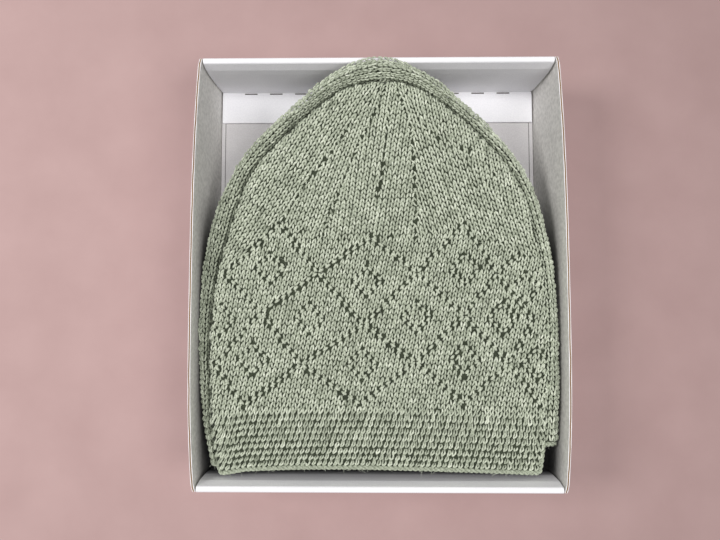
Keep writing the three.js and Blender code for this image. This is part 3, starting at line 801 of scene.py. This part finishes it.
def front_stitches():
    """Stitches of the body and the gores, with the gaps between their lattices filled."""
    kept, vec_a, vec_b = [], [], []
    taken = np.zeros((0, 2))
    for region, (a, b) in enumerate([BODY_LATTICE, *GORES]):
        p = lattice(CROWN if region else BODY_ORIGIN, a, b)
        p = p[region_of(p) == region]
        if len(taken):
            d = np.sqrt(((p[:, None] - taken[None]) ** 2).sum(-1)).min(1)
            p = p[d > LATTICE_ROOM]
        taken = np.concatenate([taken, p])
        kept.append(p)
        vec_a.append(np.tile(a, (len(p), 1)))
        vec_b.append(np.tile(b, (len(p), 1)))
    across, up = np.arange(-PLAN_X, PLAN_X, FILL_STEP), np.arange(FILL_FROM, FILL_TO, FILL_STEP)
    grid = np.stack(np.meshgrid(across, up), -1).reshape(-1, 2)
    grid = grid[region_of(grid) >= 0]
    far = np.min([np.sqrt(((grid[:, None] - part[None]) ** 2).sum(-1)).min(1)
                  for part in np.array_split(taken, 12)], axis=0)
    order = np.argsort(-far, kind="stable")
    added = []
    for i in order:
        if far[i] < GAP_FILL:
            break
        if all(np.hypot(*(grid[i] - q)) > GAP_FILL for q in added):
            added.append(grid[i])
    if added:
        added = np.array(added)
        which = region_of(added)
        table = np.array([BODY_LATTICE, *GORES])
        kept.append(added)
        vec_a.append(table[which, 0] * FILL_SCALE)
        vec_b.append(table[which, 1] * FILL_SCALE)
    p, a, b = (np.concatenate(q) for q in (kept, vec_a, vec_b))
    z, nrm, ok = drop_on(p)
    return [q[ok] for q in (p, z, nrm, a, b)]


p2, z, nrm, a2, b2 = front_stitches()
lace = lace_points()
holes = np.concatenate(lace)
gore_lines = [polyline(line, EYELET_STEP * 1.1) for line in GORE_LINES]
open_at = []
for h in holes:
    if not any(np.hypot(*(c - h)) < EYELET_APART for c in open_at):
        open_at.append(h)
open_at = np.array(open_at)
P = np.column_stack([p2, z])
A3, B3 = in_surface(a2, nrm), in_surface(b2, nrm)
size = np.hypot(*a2.T) / PITCH
order = np.argsort(P[:, 1], kind="stable")
P, A3, B3, nrm, size = (q[order] for q in (P, A3, B3, nrm, size))
tubes = legs(P, A3, B3, nrm, PLAIN, size)
tone = np.repeat(stitch_tones(len(tubes)), 2).reshape(-1, 2)
# Room of a hole, and how near its middle a leg is left out
EYELET = (1.48, 0.76)
GORE_EYELET = (1.15, 0.28)
BAND_HOLE = (1.42, 0.10)
HOLE_REACH = 6.0
HOLE_POWER = 3


def open_holes(tubes, centres, places):
    """Push the legs round each hole aside, and say which legs are left in."""
    left_in = np.ones(tubes.shape[:2], bool)
    for h, (room, clear) in places:
        near = np.flatnonzero(np.hypot(*(centres[:, :2] - h).T) < HOLE_REACH)
        part = tubes[near]
        away = part.mean(3)[..., :2] - h
        r = np.hypot(away[..., 0], away[..., 1])
        left_in[near] &= r.min(-1) > clear
        moved = (r ** HOLE_POWER + room ** HOLE_POWER) ** (1 / HOLE_POWER) - r
        part[..., :2] += (away / np.maximum(0.2, r)[..., None] * moved[..., None])[:, :, :, None]
        tubes[near] = part
    return left_in


places = [(h, EYELET) for h in open_at] + [(h, GORE_EYELET) for h in np.concatenate(gore_lines)]
left_in = open_holes(tubes, P, places)
FRONT_PIECES = 4
pieces = []
for k, part in enumerate(np.array_split(np.arange(len(tubes)), FRONT_PIECES)):
    stay = left_in[part]
    pieces.append(tubes_to_mesh(f"kufi_knit_{k + 1}", tubes[part][stay], tone[part][stay], YARN))


# Smooth strands between the eyelets
LEAF_RADIUS = 0.88
LEAF_REACH = 0.66
LEAF_ROOM = 1.3
LEAF_SINK = 0.12
LEAF_DIVE = 1.3
LEAF_FLAT = 0.8
LEAF_TONE = 0.5


def strands(lines):
    mid, way = leaf_chart(lines)
    free = np.sqrt(((mid[:, None] - open_at[None]) ** 2).sum(-1)).min(1)
    mid, way = mid[free > LEAF_ROOM], way[free > LEAF_ROOM]
    h, n3, ok = drop_on(mid)
    ok = ok & (region_of(mid) >= 0)
    mid, way, h, n3 = mid[ok], way[ok], h[ok], n3[ok]
    v = np.linspace(-0.5, 0.5, RINGS)
    body = np.cos(np.pi * v * 0.86) ** 0.7
    w3 = in_surface(way, n3)
    base = np.column_stack([mid, h])
    c = base[:, None] + v[None, :, None] * LEAF_REACH * w3[:, None]
    c = c + (-LEAF_SINK - LEAF_DIVE * (1 - body))[None, :, None] * n3[:, None]
    return round_tubes(c, n3, (LEAF_RADIUS * (0.4 + 0.6 * body))[None], LEAF_FLAT)


leaves = strands(lace)
pieces.append(tubes_to_mesh("kufi_lace_strands", leaves, np.full(len(leaves), LEAF_TONE), YARN))


# Band: rows of open stitches that follow the mouth's edge
def band_front():
    p, a, b = [], [], []
    for k, up in enumerate(BAND_ROWS):
        gap = BAND_ROWS[k] - BAND_ROWS[k - 1] if k else 3.2
        x = np.arange(-PLAN_X, PLAN_X, BAND_PITCH) + (BAND_SHIFT * k) % BAND_PITCH
        y = band_y(x) + up
        slope = (band_y(x + 1) - band_y(x - 1)) / 2
        p.append(np.stack([x, y], -1))
        a.append(np.stack([np.full_like(x, BAND_PITCH), slope * BAND_PITCH], -1))
        b.append(np.stack([np.full_like(x, BAND_SHIFT * 0.8), np.full_like(x, gap)], -1))
    p, a, b = (np.concatenate(q) for q in (p, a, b))
    z, nrm, ok = drop_on(p)
    ok = ok & (p[:, 1] > mouth_y(p[:, 0]) + 1.2)
    darker = np.full(len(p), BAND_SHADE)
    return [q[ok] for q in (np.column_stack([p, z]), in_surface(a, nrm), in_surface(b, nrm), nrm, darker)]


# Rolled edges: stitches laid by length along and across the roll
CREASE_S = 3.3
ROLL_END = 10.2
ROLL_CREST = 6.0
ROLL_ROW, BAND_ROW = 2.87, 3.7
CREASE_WIDTH = 1.5
# Painted shade: darker tone by share of the kufi's length, for the left and the right, on the shaded left
# roll and in the crease
ROLL_SHADE = {-1: ([0, 0.5, 0.75, 0.92, 1.0], [0.5, 0.45, 0.35, 0.15, 0.1]), 1: ([0, 1], [0.15, 0.1])}
CREASE_SHADE = {-1: ([0, 1], [1.6, 2.4]), 1: ([0, 0.55, 0.75, 1.0], [0.0, 0.3, 1.8, 2.6])}


def roll_shade(side, share, s):
    """How much darker a stitch is painted, as shade, for its place in the crease or on the shaded left
    roll.
    """
    crease = max(0.0, 1 - (s - CREASE_S) / CREASE_WIDTH)
    return float(np.interp(share, *ROLL_SHADE[side]) + crease * np.interp(share, *CREASE_SHADE[side]))


def roll_stitches(side):
    t = np.linspace(0, LAST - 0.06, 1200)
    crest = side_point(side, t, np.full(t.shape, ROLL_CREST))
    run = np.concatenate([[0], np.cumsum(np.linalg.norm(np.diff(crest, axis=0), axis=1))])
    table = MOUTH_LEFT if side < 0 else MOUTH_RIGHT
    out = {"plain": [], "band": []}
    at = 1.5
    while at < run[-1]:
        tt = float(np.interp(at, run, t))
        in_band = at < BAND_HEIGHT + 4
        step = BAND_ROW if in_band else ROLL_ROW
        s = np.linspace(CREASE_S, ROLL_END, 90)
        line = side_point(side, np.full(s.shape, tt), s)
        across = np.concatenate([[0], np.cumsum(np.linalg.norm(np.diff(line, axis=0), axis=1))])
        n = max(2, int(round(across[-1] / PITCH)))
        for c in (np.arange(n) + 0.5) * across[-1] / n:
            ss = float(np.interp(c, across, s))
            up = float(column(ALONG, np.array(tt))) * KUFI_LENGTH
            if up < mouth_up(table, ss / SPANS) + 1.6:
                continue
            p = side_point(side, tt, ss)
            ds = side_point(side, tt, ss + 0.05) - side_point(side, tt, ss - 0.05)
            dt = side_point(side, min(LAST - END_GAP, tt + 0.03), ss) - side_point(side, tt - 0.03, ss)
            a = ds / np.linalg.norm(ds) * (across[-1] / n)
            b = dt / np.linalg.norm(dt) * step
            nn = np.cross(a, b) * side
            darker = roll_shade(side, up / KUFI_LENGTH, ss)
            out["band" if in_band else "plain"].append((p, a * side, b, nn / np.linalg.norm(nn), darker))
        at += step
    return {k: [np.array(q) for q in zip(*v)] for k, v in out.items()}


left, right = roll_stitches(-1), roll_stitches(1)
for name, spec, groups in (
        ("kufi_roll_left", PLAIN, [left["plain"]]),
        ("kufi_roll_right", PLAIN, [right["plain"]]),
        ("kufi_band_knit", BAND, [band_front(), left["band"], right["band"]])):
    Q, A, B, N, darker = (np.concatenate([g[i] for g in groups]) for i in range(5))
    t = legs(Q, A, B, N, spec, np.linalg.norm(A, axis=1) / PITCH)
    # Tones lowered by the painted shade of the rolls and crease, and on the band by its darker tone
    tn = np.repeat(stitch_tones(len(t)) - darker, 2)
    if spec is BAND:
        rows = len(groups[0][0])
        open_holes(t, Q, [(h, BAND_HOLE) for h in (Q - 0.5 * B + 0.5 * A)[:rows, :2]])
    pieces.append(tubes_to_mesh(name, t.reshape(-1, RINGS, SIDES, 3), tn, YARN))


# Cast-on edge: a two-ply cord round the mouth
def cord_path():
    """Closed line round the mouth, evenly spaced, and its length."""
    pts = []
    for kind, side, place, up in loop_columns():
        t = np.array(float(station_at(up + 0.4)))
        a, b = surface(kind, side, place, t, False), surface(kind, side, place, t, True)
        pts.append((a + (b - a) * 0.38).reshape(3))
    p = np.array(pts + pts[:1])
    run = np.concatenate([[0], np.cumsum(np.linalg.norm(np.diff(p, axis=0), axis=1))])
    n = int(run[-1] / 0.8)
    q = np.linspace(0, run[-1], n, endpoint=False)
    return np.stack([np.interp(q, run, p[:, k]) for k in range(3)], -1), run[-1]


def ring_tube(name, path, radius, sides, material):
    n = len(path)
    tangent = unit(np.roll(path, -1, 0) - np.roll(path, 1, 0))
    upward = np.tile([0.0, 0.0, 1.0], (n, 1))
    across = unit(np.cross(upward, tangent))
    upward = np.cross(tangent, across)
    ang = np.arange(sides) * 2 * math.pi / sides
    co = (path[:, None] + radius * (across[:, None] * np.cos(ang)[None, :, None]
                                    + upward[:, None] * np.sin(ang)[None, :, None]))
    faces = [(i * sides + k, i * sides + (k + 1) % sides,
              ((i + 1) % n) * sides + (k + 1) % sides, ((i + 1) % n) * sides + k)
             for i in range(n) for k in range(sides)]
    return mesh_object(name, co.reshape(-1, 3), faces, material)


CORD_SIDES = 8
CORD_PLY = 0.82
CORD_OFFSET = 0.62
CORD_TURN = 6.0
path, length = cord_path()
tangent = unit(np.roll(path, -1, 0) - np.roll(path, 1, 0))
across = unit(np.cross(np.tile([0.0, 0.0, 1.0], (len(path), 1)), tangent))
upward = np.cross(tangent, across)
turns = round(length / CORD_TURN)
for k in range(2):
    w = np.arange(len(path)) / len(path) * 2 * math.pi * turns + k * math.pi
    ply = path + CORD_OFFSET * (across * np.cos(w)[:, None] + upward * np.sin(w)[:, None])
    pieces.append(ring_tube(f"kufi_cast_on_{k + 1}", ply, CORD_PLY, CORD_SIDES, YARN))


# Stray fibres on the front and round the mouth
FIBRE_COUNT = 420
FIBRE_RADIUS = 0.06
FIBRE_AT_MOUTH = 0.45
FIBRE_TONE = 0.9


def fuzz(count):
    pick = rng.integers(0, len(P), count)
    edge = rng.random(count) < FIBRE_AT_MOUTH
    base = P[pick] + nrm[pick] * 0.2
    ep = path[rng.integers(0, len(path), count)]
    base[edge] = ep[edge]
    ang = rng.uniform(0, 2 * math.pi, count)
    direction = np.stack([np.cos(ang), np.sin(ang), rng.uniform(0.15, 0.6, count)], -1)
    bend = np.stack([-np.sin(ang), np.cos(ang), rng.normal(0, 0.2, count)], -1)
    bend = bend * rng.choice([-1, 1], count)[:, None]
    long = rng.uniform(1.5, 4.5, count)
    v = np.linspace(0, 1, RINGS)
    c = (base[:, None] + direction[:, None] * (long[:, None, None] * v[None, :, None])
         + bend[:, None] * (long[:, None, None] * 0.6 * (v ** 2)[None, :, None]))
    c[:, :, 2] -= long[:, None] * 0.55 * v[None] ** 2
    tan = unit(np.gradient(c, axis=1))
    ac = unit(np.cross(tan, np.array([0.3, 0.2, 1.0])))
    up = np.cross(tan, ac)
    a = np.arange(3) * 2 * math.pi / 3
    return c[:, :, None] + FIBRE_RADIUS * (ac[:, :, None] * np.cos(a)[None, None, :, None]
                                           + up[:, :, None] * np.sin(a)[None, None, :, None])


hair = fuzz(FIBRE_COUNT)
pieces.append(tubes_to_mesh("kufi_fibres", hair, np.full(len(hair), FIBRE_TONE), YARN))

for ob in pieces + [backing]:
    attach(ob, "root")
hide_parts("kufi_crown", "kufi_band")


# Tray details: brown core at the cut rims, creases next to the walls and slots at the folds, the creases
# and slots as strips of painted shade
def side_offset(y, z):
    reach = np.where(y > BOW_CENTRE, WALL_END - BOW_CENTRE, BOW_CENTRE + WALL_END)
    t = np.minimum(1, np.abs(y - BOW_CENTRE) / reach)
    slope = 1 - (1 - np.minimum(1, z / TRAY_HEIGHT)) ** SIDE_LEAN
    end = np.maximum(0, 1 - (WALL_END - np.abs(y)) / CORNER_LENGTH)
    return SIDE_BOW * (1 - t ** 3) * slope - CORNER_TURN * end * end


def strip(name, y, x0, x1, z0, z1, material):
    """Long closed strip between plan lines x0(y) and x1(y)."""
    n = len(y)
    corners = ((x0, z0), (x1, z0), (x1, z1), (x0, z1))
    co = np.concatenate([np.stack([x, y, np.full(n, z)], -1) for x, z in corners])
    faces = []
    for i in range(n - 1):
        for k in range(4):
            m = (k + 1) % 4
            faces.append((k * n + i, k * n + i + 1, m * n + i + 1, m * n + i))
    faces += [(0, n, 2 * n, 3 * n), (4 * n - 1, 3 * n - 1, 2 * n - 1, n - 1)]
    ob = mesh_object(name, co, faces, material, smooth=False)
    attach(ob, "root")
    return ob


CORE_WIDTH = 0.85
CORE_SINK, CORE_PROUD = 0.3, 0.03
CREASE_INSET, CREASE_HALF = 2.9, 0.22
CREASE_SINK, CREASE_PROUD = 0.1, 0.02
wall_y = WALL_END * np.sin(math.pi * (np.linspace(0, 1, 61) - 0.5)) * 0.9995
wall_x = FOOT_X + side_offset(wall_y, TRAY_HEIGHT) + BOARD / 2
for side, word in ((-1, "left"), (1, "right")):
    wave = 0.07 * np.sin(wall_y * 0.23 + side) + 0.05 * np.sin(wall_y * 0.71)
    ob = strip(f"tray_core_{word}", wall_y, side * (wall_x - CORE_WIDTH / 2) + wave,
               side * (wall_x + CORE_WIDTH / 2) + wave,
               TRAY_HEIGHT - CORE_SINK, TRAY_HEIGHT + CORE_PROUD, CORE)
    crease_y = np.linspace(-HALF_LENGTH + 4, HALF_LENGTH - 4, 40)
    cx = np.full(len(crease_y), side * (FOOT_X - CREASE_INSET))
    ob = strip(f"tray_crease_{word}", crease_y, cx - CREASE_HALF, cx + CREASE_HALF,
               BOARD - CREASE_SINK, BOARD + CREASE_PROUD, SLOT_SHADE)

LEAF_Y = HALF_LENGTH - 2 * RIM_RADIUS
TAB_TOP = 2 * BOARD + SEAT_GAP
SLOT_LENGTH, SLOT_STEP = 8.6, 17.2
SLOT_INSET, SLOT_HALF, SLOT_CLEAR = 0.9, 0.42, 6
SLOT_SINK, SLOT_PROUD = 0.2, 0.04
for end, word in ((1, "far"), (-1, "near")):
    co, faces = [], []
    for k in range(-6, 7):
        x = k * SLOT_STEP
        if abs(x) + SLOT_LENGTH / 2 > FOOT_X - SLOT_CLEAR:
            continue
        b = len(co)
        for z in (TAB_TOP - SLOT_SINK, TAB_TOP + SLOT_PROUD):
            for sx, sy in ((-1, -1), (1, -1), (1, 1), (-1, 1)):
                co.append((x + sx * SLOT_LENGTH / 2, end * (LEAF_Y - SLOT_INSET) + sy * SLOT_HALF, z))
        faces += [(b, b + 3, b + 2, b + 1), (b + 4, b + 5, b + 6, b + 7)]
        faces += [(b + i, b + (i + 1) % 4, b + 4 + (i + 1) % 4, b + 4 + i) for i in range(4)]
    ob = mesh_object(f"tray_slots_{word}", co, faces, SLOT_SHADE, smooth=False)
    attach(ob, "root")

# Floor, light and camera
FLOOR_PALE = srgb(187, 158, 156)
FLOOR_SHADE = srgb(180, 151, 149)
FLOOR_LIGHT_FALLOFF = [(0.1, grey_level(1.0)), (0.95, grey_level(0.76))]
floor_mat, nt, shader = new_material("stage_paper", FLOOR_PALE, 0.95)
paper = ramp(nt, noise(nt, 24, 4), [(0.3, FLOOR_SHADE), (0.7, FLOOR_PALE)])
tc, at = nt.nodes.new("ShaderNodeTexCoord"), nt.nodes.new("ShaderNodeSeparateXYZ")
nt.links.new(tc.outputs["Object"], at.inputs[0])
# Painted light falloff: the paper darkens toward +X, as if lit more from the left
painted_falloff = math_node(nt, "ADD", math_node(nt, "MULTIPLY", at.outputs[0], 1.6), 0.5)
paper = mix(nt, 1.0, paper, ramp(nt, painted_falloff, FLOOR_LIGHT_FALLOFF), "MULTIPLY")
nt.links.new(paper, shader.inputs["Base Color"])
bump(nt, shader, noise(nt, 900, 3), 0.15, 0.0003)
floor = mesh_object("stage_floor", [(-3000, -3000, 0), (3000, -3000, 0), (3000, 3000, 0), (-3000, 3000, 0)],
                    [(0, 1, 2, 3)], floor_mat)

scene = bpy.context.scene
scene.view_settings.view_transform = "Standard"
world = bpy.data.worlds.new("studio")
scene.world = world
world.use_nodes = True
world.node_tree.nodes["Background"].inputs["Color"].default_value = (1.0, 0.99, 0.98, 1)
world.node_tree.nodes["Background"].inputs["Strength"].default_value = 0.20


def area(name, at, toward, size, energy, color=(1, 1, 1)):
    data = bpy.data.lights.new(name, "AREA")
    data.shape = "RECTANGLE"
    data.size, data.size_y = size
    data.energy = energy
    data.color = color
    ob = bpy.data.objects.new(name, data)
    ob.location = at
    ob.rotation_euler = (Vector(toward) - Vector(at)).to_track_quat("-Z", "Y").to_euler()
    scene.collection.objects.link(ob)


area("key_left", (-0.95, 0.15, 0.95), (0, 0, 0.03), (0.45, 0.45), 8.2, (1.0, 0.985, 0.97))
area("key_right", (0.70, -0.25, 1.15), (0, 0, 0.03), (0.6, 0.6), 7.2, (1.0, 0.985, 0.97))
area("top", (0.0, 0.10, 1.5), (0, 0, 0.03), (0.4, 0.4), 9.3)

camera = bpy.data.cameras.new("camera")
camera.lens = 27.35
camera.sensor_width = 36
camera.clip_start = 0.01
eye = bpy.data.objects.new("camera", camera)
eye.location = Vector((-7.22, -18.79, 369.73)) * MM
eye.rotation_euler = Euler((0.05868, 0.01169, -0.00031), "XYZ")
scene.collection.objects.link(eye)
scene.camera = eye
